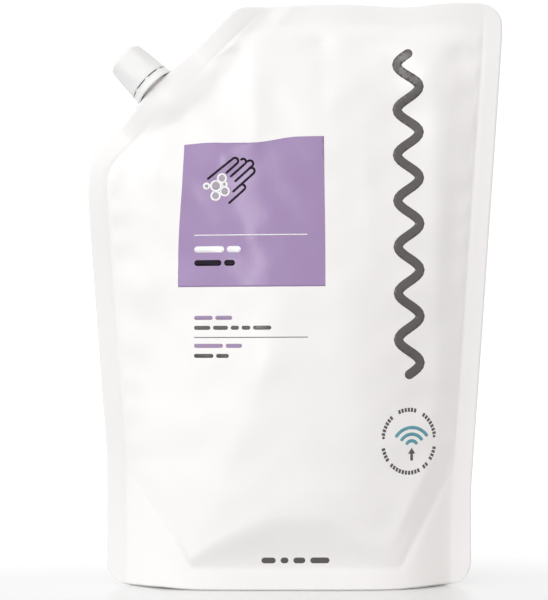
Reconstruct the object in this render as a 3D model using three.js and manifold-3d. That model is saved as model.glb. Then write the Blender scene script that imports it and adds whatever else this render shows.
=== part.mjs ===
// Stand-up refill pouch for one litre of liquid soap, with a spout and a screw cap on its cut corner.
// Millimetres, +Z up. The front faces -Y, and the origin is the middle of the underside.
import * as THREE from "three";
import { mergeVertices } from "three/addons/utils/BufferGeometryUtils.js";
import Module from "manifold-3d";

const wasm = await Module();
wasm.setup();

// ---- Pouch: outline of the filled pack, seen from the front ----
const HALF_WIDTH = 92.9; // at the top, where the film lies flat
const HEIGHT = 259.8; // at mid width; the top edge rises a little to the right
const TOP_RISE = 1.2; // of the top edge at the right corner, and its fall at the left
const FOOT_LEFT = -83.9; // the filled foot draws the sides in
const FOOT_RIGHT = 78.6;
const LEFT_SPREAD_FROM = 58; // heights over which the sides widen again
const LEFT_SPREAD_TO = 176;
const RIGHT_SPREAD_FROM = 42;
const RIGHT_SPREAD_TO = 245;
const CUT_LOW_Z = 191; // the cut corner's straight edge runs from the left side at this height
const CUT_TOP_X = -25.6; // to this place on the top edge
const FOOT_CORNER = 11; // corner radii
const TOP_CORNER = 9.5;
const CUT_ROUNDING = 2.4; // the corner between the cut edge and the top edge is rounded over this height

// ---- Pouch: how far the soap pushes the film out ----
const BULGE = 34.5; // half thickness at the fattest height
const FATTEST_Z = 43;
const FOOT_BULGE = 27.5; // half thickness where the skirt stands on the table
const SIDE_SEAL = 8.5; // width of the welded side seams
const TOP_SEAL = 9;
const HALF_SEAL = 0.3; // half thickness of a welded seam
const LEAN = 4; // the top leans back by this much
const LEAN_FROM = 60;

// ---- Pouch: bottom gusset ----
const SKIRT = 10; // height of the weld along the middle of the foot
const SKIRT_WALL = 0.8;
const GUSSET_TOP = 53; // height of the gusset's fold at the side seams
const SKIRT_RISES_FROM = 0.55; // share of the half width past which the weld climbs to the side seam
const ROOF_RISES_FROM = 0.5;
const SAG = 0.5; // depth below the table that the gusset's sag is drawn to, so its floor contact is cut flat

// ---- Spout, in its own frame: the film edge is at 0 and the neck points along +Z ----
const SPOUT_X = -62.3; // where its axis crosses the cut edge
const TILT_REACH = 40; // the film bends back over this stretch below the cut edge
const TILT_BEND = 0.0025; // curvature of that bend
const BOAT_HALF_LENGTH = 17; // weld base, pointed at both ends
const BOAT_HALF_THICKNESS = 6.1;
const BOAT_DEPTH = 11;
const BOAT_RIBS = 4;
const BOAT_RIB_HEIGHT = 1.5;
const BOAT_RIB_PROUD = 0.5;
const FILM_OVER_BOAT = 0.9;
const BORE_RADIUS = 5;
const NECK_RADIUS = 6.5;
const NECK_TOP = 18;
const COLLAR_RADIUS = 7.7;
const BEAD_RADIUS = 7.5; // holds the tamper band down on the neck

// ---- Cap, liner and tamper band, in the spout's frame ----
const GAP = 0.3; // between pieces that touch
const CAP_FOOT = 4.9;
const CAP_TOP = 21.8;
const CAP_FOOT_RADIUS = 10;
const CAP_TOP_RADIUS = 8.6;
const CAP_ROUNDING = 2.4;
const CAP_WALL = 1.25;
const CAP_CEILING = 19.8;
const CAP_FLATS = 6; // soft flats for the fingers, which fade into the round foot
const CAP_FLAT_DEPTH = 0.026;
const LINER_RADIUS = 6.5;
const LINER_THICKNESS = 1.2;
const BAND_TOP = 4;
const BAND_BRIDGES = 8;
const BRIDGE_WIDTH = 2.4;
const BRIDGE_WALL = 0.8;

const ROUND_SEGMENTS = 48;
const FILM = { color: 0xf4f3f2, roughness: 0.45, metalness: 0 };
const MOULDED = { color: 0xf3f3f1, roughness: 0.4, metalness: 0 };
const FOAM = { color: 0xe9e9e6, roughness: 0.85, metalness: 0 };

const clamp01 = (v) => Math.min(1, Math.max(0, v));
const smoothstep = (low, high, v) => THREE.MathUtils.smoothstep(v, low, high);

// ---- Closed meshes and manifold solids ----

function solidOf(geometry) {
  const bare = geometry.clone();
  bare.deleteAttribute("normal");
  bare.deleteAttribute("uv");
  const merged = mergeVertices(bare, 1e-4);
  const mesh = new wasm.Mesh({
    numProp: 3,
    vertProperties: merged.attributes.position.array,
    triVerts: new Uint32Array(merged.index.array),
  });
  return new wasm.Manifold(mesh);
}

function geometryOf(solid) {
  const mesh = solid.getMesh();
  const positions = new Float32Array(mesh.numVert * 3);
  for (let i = 0; i < mesh.numVert; i++)
    positions.set(mesh.vertProperties.subarray(i * mesh.numProp, i * mesh.numProp + 3), i * 3);
  const geometry = new THREE.BufferGeometry();
  geometry.setAttribute("position", new THREE.BufferAttribute(positions, 3));
  geometry.setIndex(new THREE.BufferAttribute(mesh.triVerts, 1));
  geometry.computeVertexNormals();
  return geometry;
}

// A closed tube of loops, each an equal number of points, with flat ends.
function loft(loops) {
  const count = loops[0].length;
  const positions = loops.flat().flatMap((p) => [p.x, p.y, p.z]);
  const index = [];
  for (let k = 0; k + 1 < loops.length; k++)
    for (let i = 0; i < count; i++) {
      const a = k * count + i;
      const b = k * count + ((i + 1) % count);
      index.push(a, b, b + count, a, b + count, a + count);
    }
  for (const [k, reversed] of [[0, true], [loops.length - 1, false]]) {
    const flat = loops[k].map((p) => new THREE.Vector2(p.y, p.z));
    for (const face of THREE.ShapeUtils.triangulateShape(flat, [])) {
      const corners = face.map((i) => k * count + i);
      index.push(...(reversed ? corners.reverse() : corners));
    }
  }
  const geometry = new THREE.BufferGeometry();
  geometry.setAttribute("position", new THREE.Float32BufferAttribute(positions, 3));
  geometry.setIndex(index);
  return geometry;
}

// ---- Outline of the pack ----

function footRounding(z) {
  const below = Math.max(0, FOOT_CORNER - z);
  return FOOT_CORNER - Math.sqrt(FOOT_CORNER ** 2 - below ** 2);
}

function topRounding(z) {
  const above = Math.min(TOP_CORNER, Math.max(0, z - (HEIGHT - TOP_CORNER)));
  return TOP_CORNER - Math.sqrt(TOP_CORNER ** 2 - above ** 2);
}

function leftSide(z) {
  const spread = clamp01((z - LEFT_SPREAD_FROM) / (LEFT_SPREAD_TO - LEFT_SPREAD_FROM));
  return FOOT_LEFT - (HALF_WIDTH + FOOT_LEFT) * spread + footRounding(z);
}

function rightSide(z) {
  const spread = clamp01((z - RIGHT_SPREAD_FROM) / (RIGHT_SPREAD_TO - RIGHT_SPREAD_FROM));
  return FOOT_RIGHT + (HALF_WIDTH - FOOT_RIGHT) * spread - footRounding(z) - topRounding(z);
}

// The cut edge's line, and the left edge with its corner rounded where the line meets the side.
const CUT_SLOPE = (HEIGHT - CUT_LOW_Z) / (CUT_TOP_X + HALF_WIDTH);
const cutLine = (z) => -HALF_WIDTH + (z - CUT_LOW_Z) / CUT_SLOPE;

function leftEdge(z) {
  const side = leftSide(z);
  const cut = cutLine(z);
  const softness = 5; // of the corner between them
  const atTop = (Math.max(0, z - HEIGHT + CUT_ROUNDING) / CUT_ROUNDING) ** 2 * CUT_ROUNDING * 1.4;
  return (side + cut + Math.sqrt((side - cut) ** 2 + softness ** 2)) / 2 - softness ** 2 / 60 + atTop;
}

const cutAngle = Math.atan(CUT_SLOPE);
const cutSealWidth = SIDE_SEAL / Math.sin(cutAngle); // measured along X on the slanting edge
const leftSeal = (z) => SIDE_SEAL + (cutSealWidth - SIDE_SEAL) * smoothstep(CUT_LOW_Z - 8, CUT_LOW_Z + 8, z);

// ---- The spout's place on the cut edge ----

const spoutZ = CUT_LOW_Z + (SPOUT_X + HALF_WIDTH) * CUT_SLOPE;
const along = new THREE.Vector2(Math.cos(cutAngle), Math.sin(cutAngle)); // up the cut edge, in X and Z
const outward = new THREE.Vector2(-along.y, along.x);
const fromSpout = (x, z) => {
  const p = new THREE.Vector2(x - SPOUT_X, z - spoutZ);
  return { a: p.dot(along), s: p.dot(outward) };
};

// ---- Shape of the filled film ----

// Y of the surface half way between front and back.
function middle(x, z) {
  const lean = LEAN * clamp01((z - LEAN_FROM) / (HEIGHT - LEAN_FROM)) ** 2;
  const { a, s } = fromSpout(x, z);
  return lean + TILT_BEND * Math.max(0, s + TILT_REACH) ** 2 * Math.exp(-((a / 45) ** 2));
}

function bulgeAt(z) {
  if (z < FATTEST_Z) return BULGE - (BULGE - FOOT_BULGE) * ((FATTEST_Z - z) / FATTEST_Z) ** 2;
  const up = clamp01((z - FATTEST_Z) / (HEIGHT - TOP_SEAL - FATTEST_Z));
  return BULGE * (1 - up ** 1.35) ** 0.95;
}

// Place across the unsealed width: -1 at the left seam, 1 at the right one.
function acrossAt(x, z) {
  const low = leftEdge(z) + leftSeal(z);
  const high = rightSide(z) - SIDE_SEAL;
  return (2 * x - low - high) / (high - low);
}

// The film stands over the spout's weld base.
function boatBulge(x, z) {
  const { a, s } = fromSpout(x, z);
  const width = BOAT_HALF_LENGTH + 2;
  const reach = smoothstep(-45, -BOAT_DEPTH, s);
  return (BOAT_HALF_THICKNESS + FILM_OVER_BOAT) * Math.max(0, 1 - (a / width) ** 2) * reach;
}

function halfThickness(x, z) {
  const across = Math.min(1, Math.abs(acrossAt(x, z)));
  const flatness = 1.28 - 0.16 * smoothstep(0, 60, z); // flatter cheeks beside the gusset's corners
  const body = bulgeAt(z) * (1 - across ** 2) ** flatness;
  return HALF_SEAL + Math.hypot(body, boatBulge(x, z));
}

// ---- Pouch ----

function spaced(from, to, count) {
  return Array.from({ length: count + 1 }, (_, i) => from + ((to - from) * i) / count);
}

// Heights of the rows: close together at the rounded corners and beside the spout.
const rowHeights = [
  ...spaced(0, FOOT_CORNER, 5),
  ...spaced(FOOT_CORNER, CUT_LOW_Z - 6, 22).slice(1),
  ...spaced(CUT_LOW_Z - 6, HEIGHT - TOP_SEAL, 20).slice(1),
  ...spaced(HEIGHT - TOP_SEAL, HEIGHT, 7).slice(1),
];
const acrossSteps = 28;

function filledBody() {
  const positions = [];
  const rows = rowHeights.map((z) => {
    const low = leftEdge(z) + leftSeal(z);
    const high = rightSide(z) - SIDE_SEAL;
    const inner = spaced(0, 1, acrossSteps).map((u) => low + (high - low) * (1 - Math.cos(u * Math.PI)) / 2);
    return [leftEdge(z), ...inner, rightSide(z)].map((x) => ({ x, z }));
  });
  const columns = rows[0].length;
  for (const side of [-1, 1])
    for (const row of rows)
      for (const { x, z } of row) {
        const flatTop = z >= HEIGHT - TOP_SEAL - 0.01 ? Math.hypot(HALF_SEAL, boatBulge(x, z)) : halfThickness(x, z);
        positions.push(x, middle(x, z) + side * flatTop, z * (1 + (TOP_RISE * x) / (HALF_WIDTH * HEIGHT)));
      }
  const vertex = (side, j, i) => (side * rows.length + j) * columns + i;
  const index = [];
  const quad = (a, b, c, d) => index.push(a, b, c, a, c, d);
  for (let j = 0; j + 1 < rows.length; j++) {
    for (let i = 0; i + 1 < columns; i++) {
      quad(vertex(0, j, i), vertex(0, j, i + 1), vertex(0, j + 1, i + 1), vertex(0, j + 1, i));
      quad(vertex(1, j, i), vertex(1, j + 1, i), vertex(1, j + 1, i + 1), vertex(1, j, i + 1));
    }
    quad(vertex(0, j, 0), vertex(0, j + 1, 0), vertex(1, j + 1, 0), vertex(1, j, 0));
    const last = columns - 1;
    quad(vertex(0, j, last), vertex(1, j, last), vertex(1, j + 1, last), vertex(0, j + 1, last));
  }
  for (let i = 0; i + 1 < columns; i++) {
    const top = rows.length - 1;
    quad(vertex(0, 0, i), vertex(1, 0, i), vertex(1, 0, i + 1), vertex(0, 0, i + 1));
    quad(vertex(0, top, i), vertex(0, top, i + 1), vertex(1, top, i + 1), vertex(1, top, i));
  }
  const geometry = new THREE.BufferGeometry();
  geometry.setAttribute("position", new THREE.Float32BufferAttribute(positions, 3));
  geometry.setIndex(index);
  return solidOf(geometry);
}

// The hollow between the two skirts and under the folded gusset, open to the table.
function underHollow() {
  const wallSteps = 5;
  const roofSteps = 12;
  const low = leftEdge(0) + SIDE_SEAL;
  const high = rightSide(0) - SIDE_SEAL;
  const loops = spaced(-0.95, 0.95, 32).map((across) => {
    const x = (low + high) / 2 + (across * (high - low)) / 2;
    const away = Math.abs(across);
    const weld = SKIRT + (GUSSET_TOP - SKIRT) * clamp01((away - SKIRT_RISES_FROM) / (1 - SKIRT_RISES_FROM)) ** 1.2;
    const crown = (GUSSET_TOP - 3) * clamp01((away - ROOF_RISES_FROM) / (1 - ROOF_RISES_FROM)) ** 1.5 - SAG;
    const wall = spaced(-1, weld, wallSteps).map((z) => {
      const y = halfThickness(x, Math.max(0, z)) - SKIRT_WALL;
      return new THREE.Vector3(x, -y, z);
    });
    const reach = -wall[wallSteps].y;
    const roof = spaced(-1, 1, roofSteps).slice(1, -1).map((eta) => {
      const z = crown + (weld - crown) * Math.abs(eta) ** 6;
      return new THREE.Vector3(x, eta * reach, z);
    });
    const backWall = wall.map((p) => new THREE.Vector3(p.x, -p.y, p.z)).reverse();
    return [...wall, ...roof, ...backWall].reverse();
  });
  return solidOf(loft(loops));
}

// Lens-shaped outline of the weld base, grown by an amount on every side.
function boatShape(grow) {
  const length = BOAT_HALF_LENGTH + grow;
  const thickness = BOAT_HALF_THICKNESS + grow;
  const radius = (length ** 2 + thickness ** 2) / (2 * thickness);
  const half = Math.asin(length / radius);
  const shape = new THREE.Shape();
  shape.absarc(0, thickness - radius, radius, Math.PI / 2 - half, Math.PI / 2 + half, false);
  shape.absarc(0, radius - thickness, radius, -Math.PI / 2 - half, -Math.PI / 2 + half, false);
  return shape;
}

function boatSlab(grow, from, to) {
  const slab = new THREE.ExtrudeGeometry(boatShape(grow), { depth: to - from, bevelEnabled: false, curveSegments: 12 });
  return solidOf(slab.translate(0, 0, from));
}

// The spout's frame: X up the cut edge, Z out along the neck, Y back through the film.
function spoutFrame() {
  const h = 0.5;
  const at = -BOAT_DEPTH / 2;
  const point = (a, s) => {
    const x = SPOUT_X + a * along.x + s * outward.x;
    const z = spoutZ + a * along.y + s * outward.y;
    return new THREE.Vector3(x, middle(x, z), z);
  };
  const axis = point(0, at + h).sub(point(0, at - h)).normalize();
  const side = point(h, at).sub(point(-h, at));
  const edgeways = side.addScaledVector(axis, -side.dot(axis)).normalize();
  const through = new THREE.Vector3().crossVectors(axis, edgeways);
  const origin = point(0, at).addScaledVector(axis, -at);
  return new THREE.Matrix4().makeBasis(edgeways, through, axis).setPosition(origin);
}

const frame = spoutFrame();

function pouch() {
  const sleeve = boatSlab(GAP + 0.7, -BOAT_DEPTH - 2, -0.1).transform(frame.elements);
  const pocket = boatSlab(GAP, -BOAT_DEPTH - GAP, 2).transform(frame.elements);
  const trim = solidOf(new THREE.BoxGeometry(44, 24, 8).translate(0, 0, 4)).transform(frame.elements);
  return geometryOf(filledBody().subtract(underHollow()).add(sleeve).subtract(trim).subtract(pocket));
}

// ---- Spout: one moulding with the weld base, the neck, a collar and a bead ----

// A turned solid from its half section, listed from the axis out and back to it, lowest point first.
function turned(profile) {
  const points = profile.map(([r, z]) => new THREE.Vector2(r, z));
  return new THREE.LatheGeometry(points, ROUND_SEGMENTS).rotateX(Math.PI / 2);
}

function spout() {
  const ribPitch = (BOAT_DEPTH - BOAT_RIB_HEIGHT) / (BOAT_RIBS - 1);
  let body = boatSlab(-BOAT_RIB_PROUD, -BOAT_DEPTH, 0.4);
  for (let i = 0; i < BOAT_RIBS; i++) {
    const foot = -BOAT_DEPTH + i * ribPitch;
    body = body.add(boatSlab(0, foot, foot + BOAT_RIB_HEIGHT));
  }
  const neck = turned([
    [0, 0.3], [NECK_RADIUS, 0.3], [COLLAR_RADIUS, 0.5], [COLLAR_RADIUS, 1.4], [NECK_RADIUS, 1.4],
    [NECK_RADIUS, 3.5], [BEAD_RADIUS, 3.6], [BEAD_RADIUS, 3.9], [NECK_RADIUS, 4.8],
    [NECK_RADIUS, NECK_TOP - 0.5], [NECK_RADIUS - 0.5, NECK_TOP], [0, NECK_TOP],
  ]);
  const bore = turned([[0, -BOAT_DEPTH - 1], [BORE_RADIUS, -BOAT_DEPTH - 1], [BORE_RADIUS, NECK_TOP + 1], [0, NECK_TOP + 1]]);
  return geometryOf(body.add(solidOf(neck)).subtract(solidOf(bore)));
}

// ---- Tamper band: a flared ring with claws under the bead, and the stubs of its bridges to the cap ----

function tamperBand() {
  const ring = turned([
    [9.75, 0.5], [10.6, 0.5], [10.7, 0.9], [10.05, 3.2], [9.95, BAND_TOP], [8.85, BAND_TOP], [8.75, 3.1],
    [7, 3.1], [7, 2.7], [8.75, 1.9], [9.75, 0.5],
  ]);
  let band = solidOf(ring);
  const height = CAP_FOOT - GAP - BAND_TOP + 0.2;
  for (let i = 0; i < BAND_BRIDGES; i++) {
    const bridge = new THREE.BoxGeometry(BRIDGE_WALL, BRIDGE_WIDTH, height);
    bridge.translate(CAP_FOOT_RADIUS - BRIDGE_WALL / 2 - 0.25, 0, CAP_FOOT - GAP - height / 2);
    bridge.rotateZ((i * 2 * Math.PI) / BAND_BRIDGES);
    band = band.add(solidOf(bridge));
  }
  return geometryOf(band);
}

// ---- Cap: a closed cup whose outside has soft flats ----

function capOutside() {
  const steps = 6;
  const straight = spaced(CAP_FOOT, CAP_TOP - CAP_ROUNDING, steps).map((z) => {
    const share = (z - CAP_FOOT) / (CAP_TOP - CAP_ROUNDING - CAP_FOOT);
    return [CAP_FOOT_RADIUS + (CAP_TOP_RADIUS - CAP_FOOT_RADIUS) * share, z];
  });
  const rounding = spaced(0, Math.PI / 2, 5).slice(1).map((t) => [
    CAP_TOP_RADIUS - CAP_ROUNDING * (1 - Math.cos(t)),
    CAP_TOP - CAP_ROUNDING * (1 - Math.sin(t)),
  ]);
  return [...straight, ...rounding];
}

function cap() {
  const geometry = turned([[0, CAP_FOOT], ...capOutside(), [0, CAP_TOP]]);
  const position = geometry.attributes.position;
  for (let i = 0; i < position.count; i++) {
    const angle = Math.atan2(position.getY(i), position.getX(i));
    const depth = CAP_FLAT_DEPTH * smoothstep(CAP_FOOT + 1, CAP_FOOT + 7, position.getZ(i));
    const grow = 1 + depth * (Math.cos(CAP_FLATS * angle) - 0.4);
    position.setXY(i, position.getX(i) * grow, position.getY(i) * grow);
  }
  const foot = CAP_FOOT_RADIUS - CAP_WALL;
  const ceiling = CAP_TOP_RADIUS - CAP_WALL;
  const hollow = turned([[0, CAP_FOOT - 1], [foot + 0.1, CAP_FOOT - 1], [ceiling, CAP_CEILING], [0, CAP_CEILING]]);
  return geometryOf(solidOf(geometry).subtract(solidOf(hollow)));
}

// ---- Cap liner: a foam disc between the cap's ceiling and the neck's rim ----

function capLiner() {
  const foot = NECK_TOP + GAP;
  return turned([[0, foot], [LINER_RADIUS, foot], [LINER_RADIUS, foot + LINER_THICKNESS], [0, foot + LINER_THICKNESS]]);
}

// ---- The pack ----

function piece(name, geometry, finish) {
  const mesh = new THREE.Mesh(geometry, new THREE.MeshStandardMaterial(finish));
  mesh.name = name;
  return mesh;
}

const closure = new THREE.Group();
frame.decompose(closure.position, closure.quaternion, closure.scale);
closure.add(
  piece("spout", spout(), MOULDED),
  piece("tamper_band", tamperBand(), MOULDED),
  piece("cap_liner", capLiner(), FOAM),
  piece("cap", cap(), MOULDED),
);

const pack = new THREE.Group();
pack.add(piece("pouch", pouch(), FILM), closure);

export default pack;
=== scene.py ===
"""Looks of the hand soap refill pack: laminated film pouch, printed panels, spout, tamper band and cap.

Sizes of the pack are in millimetres, in the part's own frame: +X to the right, +Y back, +Z up, with the
origin under the pack. Those of the stage are in metres.
"""

import math

import bmesh
import bpy
import numpy as np
from mathutils import Matrix, Vector

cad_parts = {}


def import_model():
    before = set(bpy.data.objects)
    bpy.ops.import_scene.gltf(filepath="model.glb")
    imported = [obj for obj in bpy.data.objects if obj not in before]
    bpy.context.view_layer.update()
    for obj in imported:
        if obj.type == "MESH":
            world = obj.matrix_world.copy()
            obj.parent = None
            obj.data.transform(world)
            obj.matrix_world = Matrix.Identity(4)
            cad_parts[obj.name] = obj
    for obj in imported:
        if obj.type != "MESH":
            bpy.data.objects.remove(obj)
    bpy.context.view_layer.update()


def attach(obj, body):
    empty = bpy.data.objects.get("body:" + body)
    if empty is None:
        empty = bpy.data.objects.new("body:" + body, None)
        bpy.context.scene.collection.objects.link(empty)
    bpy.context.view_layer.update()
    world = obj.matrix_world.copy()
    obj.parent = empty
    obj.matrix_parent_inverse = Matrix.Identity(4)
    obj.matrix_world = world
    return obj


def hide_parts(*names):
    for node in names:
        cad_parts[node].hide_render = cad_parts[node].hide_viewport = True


MM = 0.001

# ---- Outline of the filled pouch ----
HALF_WIDTH = 92.9
HEIGHT = 259.8
TOP_RISE = 1.2
FOOT_LEFT = -83.9
FOOT_RIGHT = 78.6
LEFT_SPREAD = (58, 176)
RIGHT_SPREAD = (42, 245)
CUT_LOW_Z = 191
CUT_TOP_X = -25.6
FOOT_CORNER = 11
TOP_CORNER = 9.5
CUT_ROUNDING = 2.6
SHOULDER_SOFTNESS = 5
SIDE_SEAL = 8.5
TOP_SEAL = 9
HALF_SEAL = 0.3

# ---- Fullness ----
BULGE = 34.1
BODY_SECTION = (2.3, 0.98)  # flatness in the middle, and fullness at the seams
FATTEST_Z = 43
FOOT_BULGE = 23.4
FOOT_SECTION = (5.5, 1.6)
LEAN = 4
LEAN_FROM = 60
SKIRT = 10
LEFT_WELD = (-46, -75)  # the gusset's weld climbs between these, from the skirt to the side seam
RIGHT_WELD = (46, 71)
WELD_CLIMB = 43
WELD_SWELL = (20, 5, 25)  # height of the swell above the weld: at its sides, corners and middle
WELD_GROOVE = 0.25
WELD_CREASE = 1.1  # the film is pinched above the weld's climb at the right
WELD_CREASE_REACH = 5
WELD_CREASE_X = (40, 54)  # the pinch fades in between these
HEM_LIFT = 0.55  # the foot's edge stands this far off the table near its corners
HEM_LIFT_X = 59
HEM_LIFT_WIDTH = 9
HEM_LIFT_HEIGHT = 8
SEAM_GROOVES = (0.18, 0.28)  # left and right
SEAM_GROOVE_WIDTH = 1.2
SKIRT_WALL = 0.4

# ---- Spout ----
SPOUT_X = -62.3
TILT_REACH = 40
TILT_BEND = 0.0025
TILT_WIDTH = 45
BOAT_DEPTH = 11
BOAT_SWELL = 7.2  # the film's half thickness over the spout's welded base
BOAT_SWELL_REACH = 25

CUT_SLOPE = (HEIGHT - CUT_LOW_Z) / (CUT_TOP_X + HALF_WIDTH)
CUT_ANGLE = math.atan(CUT_SLOPE)
ALONG = (math.cos(CUT_ANGLE), math.sin(CUT_ANGLE))
OUTWARD = (-ALONG[1], ALONG[0])
SPOUT_Z = CUT_LOW_Z + (SPOUT_X + HALF_WIDTH) * CUT_SLOPE

# ---- Relief of the film: folds as (start, end, width, height), dents as (centre, size, depth, turn) ----
FRONT_FOLDS = (
    ((-19, 250), (-18, 200), 8, 2.1),
    ((84, 252), (50, 222), 12, 2.2),
    ((62, 224), (63, 120), 8, 1.6),
    ((31, 202), (33, 140), 7, 0.9),
    ((12, 254), (12, 212), 6, -0.8),
    ((-8, 112), (-45, 16), 13, 1.9),
    ((-46, 90), (-47, 34), 8, 0.5),
    ((-44, 216), (-30, 186), 7, 0.9),
    ((-58, 204), (-62, 176), 7, 0.8),
    ((66, 96), (58, 60), 7, 0.9),
    ((65, 66), (41, 18), 5, 1.8),
)
FRONT_DENTS = (
    ((-36, 224), (9, 20), 1.1, -0.6),
    ((-50, 219), (7, 9), 0.8, -0.8),
    ((-70, 192), (15, 6), 0.9, 0.8),
    ((20, 240), (20, 9), 0.7, 0),
    ((42, 214), (13, 20), 1.0, 0),
    ((72, 160), (5, 12), 1.1, 0),
    ((71, 196), (5, 10), 0.7, 0),
    ((-62, 118), (9, 28), 0.9, -0.15),
    ((-68, 68), (8, 12), 0.7, -0.3),
    ((26, 26), (30, 6), 0.6, 0),
)
BACK_FOLDS = (
    ((74, 240), (42, 200), 7, 1.8),
    ((-10, 250), (2, 192), 6, 1.3),
    ((-52, 170), (-58, 100), 9, 1.2),
    ((30, 120), (44, 30), 13, 1.1),
)
BACK_DENTS = (
    ((-30, 218), (12, 22), 1.3, -0.6),
    ((26, 228), (20, 11), 1.0, 0),
    ((58, 108), (9, 32), 1.0, 0.1),
    ((-64, 58), (9, 14), 0.8, 0),
)


def smoothstep(low, high, v):
    t = np.clip((np.asarray(v, float) - low) / (high - low), 0, 1)
    return t * t * (3 - 2 * t)


# ---- Outline ----


def left_side(z):
    low, high = LEFT_SPREAD
    side = FOOT_LEFT - (HALF_WIDTH + FOOT_LEFT) * np.clip((z - low) / (high - low), 0, 1)
    cut = -HALF_WIDTH + (z - CUT_LOW_Z) / CUT_SLOPE
    softness = SHOULDER_SOFTNESS**2
    return (side + cut + np.sqrt((side - cut) ** 2 + softness)) / 2 - softness / 60


def right_side(z):
    low, high = RIGHT_SPREAD
    return FOOT_RIGHT + (HALF_WIDTH - FOOT_RIGHT) * np.clip((z - low) / (high - low), 0, 1)


def foot_rounding(z):
    below = np.maximum(0, FOOT_CORNER - z)
    return FOOT_CORNER - np.sqrt(np.maximum(0, FOOT_CORNER**2 - below**2))


def left_edge(z):
    at_top = (np.maximum(0, z - HEIGHT + CUT_ROUNDING) / CUT_ROUNDING) ** 2 * CUT_ROUNDING * 1.4
    return left_side(z) + foot_rounding(z) + at_top


def right_edge(z):
    above = np.clip(z - (HEIGHT - TOP_CORNER), 0, TOP_CORNER)
    top_rounding = TOP_CORNER - np.sqrt(np.maximum(0, TOP_CORNER**2 - above**2))
    return right_side(z) - foot_rounding(z) - top_rounding


def left_seam(z):
    on_cut = smoothstep(CUT_LOW_Z - 8, CUT_LOW_Z + 8, z)
    return left_side(z) + SIDE_SEAL * (1 + (1 / math.sin(CUT_ANGLE) - 1) * on_cut)


def right_seam(z):
    return right_side(z) - SIDE_SEAL


# ---- Surface of the film: y of the middle, and half the thickness in front of it and behind it ----


def from_spout(x, z):
    """Distance along the cut edge from the spout, and outwards from the edge."""
    dx, dz = x - SPOUT_X, z - SPOUT_Z
    return dx * ALONG[0] + dz * ALONG[1], dx * OUTWARD[0] + dz * OUTWARD[1]


def waves(x, z, seed, count, shortest, longest):
    """Smooth uneven relief between about -1 and 1, the same each time for one seed."""
    random = np.random.RandomState(seed)
    total = np.zeros(np.broadcast(x, z).shape)
    for _ in range(count):
        length = random.uniform(shortest, longest)
        turn, phase = random.uniform(0, math.pi), random.uniform(0, math.tau)
        total += np.sin((x * math.cos(turn) + z * math.sin(turn)) * math.tau / length + phase)
    return total / math.sqrt(count)


def across(x, z):
    """-1 at the left seam, 1 at the right seam."""
    low, high = left_seam(z), right_seam(z)
    return np.clip((2 * x - low - high) / (high - low), -1, 1)


def lean_and_tilt(z, a, s):
    """The pack leans back as it rises, and the corner with the spout bends back further."""
    lean = LEAN * np.clip((z - LEAN_FROM) / (HEIGHT - LEAN_FROM), 0, 1) ** 2
    return lean + TILT_BEND * np.maximum(0, s + TILT_REACH) ** 2 * np.exp(-((a / TILT_WIDTH) ** 2))


def middle(x, z):
    a, s = from_spout(x, z)
    near_edge = smoothstep(0.72, 1, np.abs(across(x, z))) + smoothstep(HEIGHT - 30, HEIGHT, z)
    away_from_spout = 1 - np.exp(-((a / 30) ** 2 + (s / 30) ** 2))
    flutter = 0.9 * waves(x, z, 4, 7, 45, 110) * near_edge * smoothstep(30, 90, z) * away_from_spout
    groove = 0
    for seam, depth in zip((left_seam, right_seam), SEAM_GROOVES):
        groove = groove + depth * np.exp(-(((x - seam(z)) / SEAM_GROOVE_WIDTH) ** 2))
    groove = groove * smoothstep(14, 60, z) * (1 - smoothstep(HEIGHT - 12, HEIGHT, z))
    return lean_and_tilt(z, a, s) + flutter + groove * away_from_spout


def bulge_at(z):
    up = np.clip((z - FATTEST_Z) / (HEIGHT - TOP_SEAL - FATTEST_Z), 0, 1)
    down = np.maximum(0, FATTEST_Z - z) / FATTEST_Z
    return BULGE * np.where(z < FATTEST_Z, 1 - 0.03 * down**2, (1 - up**1.35) ** 0.95)


def section(a, flatness, fullness):
    """Share of the bulge across the pack: flat in the middle and steep at the seams."""
    return (1 - np.abs(a) ** flatness) ** fullness


def weld_height(x):
    left = np.clip((LEFT_WELD[0] - x) / (LEFT_WELD[0] - LEFT_WELD[1]), 0, 1)
    right = np.clip((x - RIGHT_WELD[0]) / (RIGHT_WELD[1] - RIGHT_WELD[0]), 0, 1)
    return SKIRT + WELD_CLIMB * (left + right)


def fold(x, z, start, end, width, height):
    """A fold of this height along a line, falling away over the width, and fading towards its ends."""
    dx, dz = end[0] - start[0], end[1] - start[1]
    length = math.hypot(dx, dz)
    t = ((x - start[0]) * dx + (z - start[1]) * dz) / length**2
    off = ((x - start[0]) * dz - (z - start[1]) * dx) / length
    ends = smoothstep(-0.25, 0.25, t) * smoothstep(-0.25, 0.25, 1 - t)
    return height * ends * np.exp(-np.abs(off / width) ** 1.6)


def dent(x, z, centre, size, depth, turn):
    c, s = math.cos(turn), math.sin(turn)
    dx, dz = x - centre[0], z - centre[1]
    return -depth * np.exp(-(((dx * c + dz * s) / size[0]) ** 2) - ((dz * c - dx * s) / size[1]) ** 2)


def relief(x, z, folds, dents, seed):
    """Folds, dents and an uneven surface that is livelier where the film is slack, near its seams."""
    total = sum(fold(x, z, *f) for f in folds) + sum(dent(x, z, *d) for d in dents)
    slack = 0.45 + 0.5 * smoothstep(0.5, 0.95, np.abs(across(x, z))) + 0.4 * smoothstep(190, 245, z)
    return total + slack * (waves(x, z, seed, 12, 30, 80) + 0.3 * waves(x, z, seed + 1, 10, 14, 28))


def front_relief(x, z):
    return relief(x, z, FRONT_FOLDS, FRONT_DENTS, 11)


def back_relief(x, z):
    return relief(x, z, BACK_FOLDS, BACK_DENTS, 23)


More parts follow.
